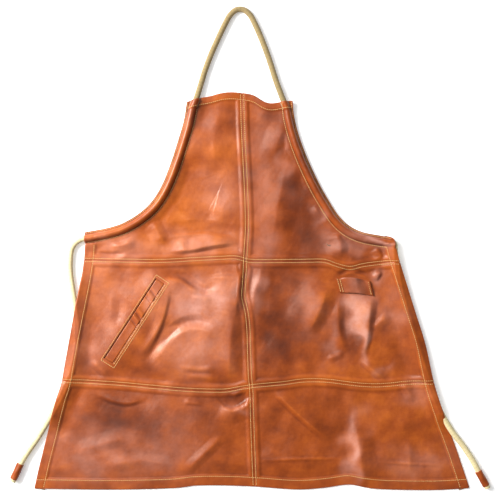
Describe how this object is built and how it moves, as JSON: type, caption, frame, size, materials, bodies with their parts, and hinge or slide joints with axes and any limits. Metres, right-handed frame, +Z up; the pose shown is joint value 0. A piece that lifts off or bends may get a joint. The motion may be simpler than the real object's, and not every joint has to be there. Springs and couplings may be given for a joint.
{
  "type": "leather work apron",
  "caption": "Leather bib apron of sewn panels with a rope neck loop, rope ties run through armhole casings, a slanted slit pocket and a towel loop.",
  "frame": {"origin": "middle of the box round the leather, without the free rope, on the table it lies on", "axes": "+X to the wearer's left as seen from the front, which is the right of the view; +Y towards the neck loop; +Z up from the table, out of the leather's finished side"},
  "size_m": [0.9577, 0.9679, 0.0244],
  "materials": {
    "leather": "waxed pull-up leather, cognac, semi-gloss with paler and darker rubbed patches",
    "suede_side": "flesh side of the leather, matt nap",
    "rope": "undyed braided cotton, matt",
    "thread": "thick waxed polyester thread, pale gold"
  },
  "bodies": {
    "apron": {"bib_panel_left": "leather", "bib_panel_right": "leather", "waist_panel_left": "leather", "waist_panel_right": "leather", "skirt_panel_left": "leather", "skirt_panel_right": "leather", "armhole_facing_left": "suede_side", "armhole_facing_right": "suede_side", "pocket_welt": "leather", "pocket_bag": "suede_side", "towel_loop": "leather", "rope_in_left_casing": "rope", "rope_in_right_casing": "rope", "thread_centre_seam": "thread", "thread_waist_seam": "thread", "thread_skirt_seam": "thread", "thread_top_hem": "thread", "thread_side_hem_left": "thread", "thread_side_hem_right": "thread", "thread_bottom_hem": "thread", "thread_armhole_left": "thread", "thread_armhole_right": "thread", "thread_pocket": "thread", "thread_towel_loop": "thread"},
    "neck_loop": {"rope_neck_loop": "rope"},
    "tie_left": {"rope_tie_left": "rope", "tie_tip_sleeve_left": "leather"},
    "tie_right": {"rope_tie_right": "rope", "tie_tip_sleeve_right": "leather"}
  },
  "joints": [
    {"name": "neck_loop_swing", "type": "hinge", "parent": "apron", "child": "neck_loop", "pos_m": [-0.0255, 0.4, 0.0076], "axis": [1, 0, 0], "range_deg": [0, 120]},
    {"name": "tie_left_swing", "type": "hinge", "parent": "apron", "child": "tie_left", "pos_m": [-0.341, 0.104, 0.0076], "axis": [0, 0, 1], "range_deg": [-90, 0]},
    {"name": "tie_right_swing", "type": "hinge", "parent": "apron", "child": "tie_right", "pos_m": [0.284, 0.094, 0.0076], "axis": [0, 0, 1], "range_deg": [0, 90]}
  ]
}
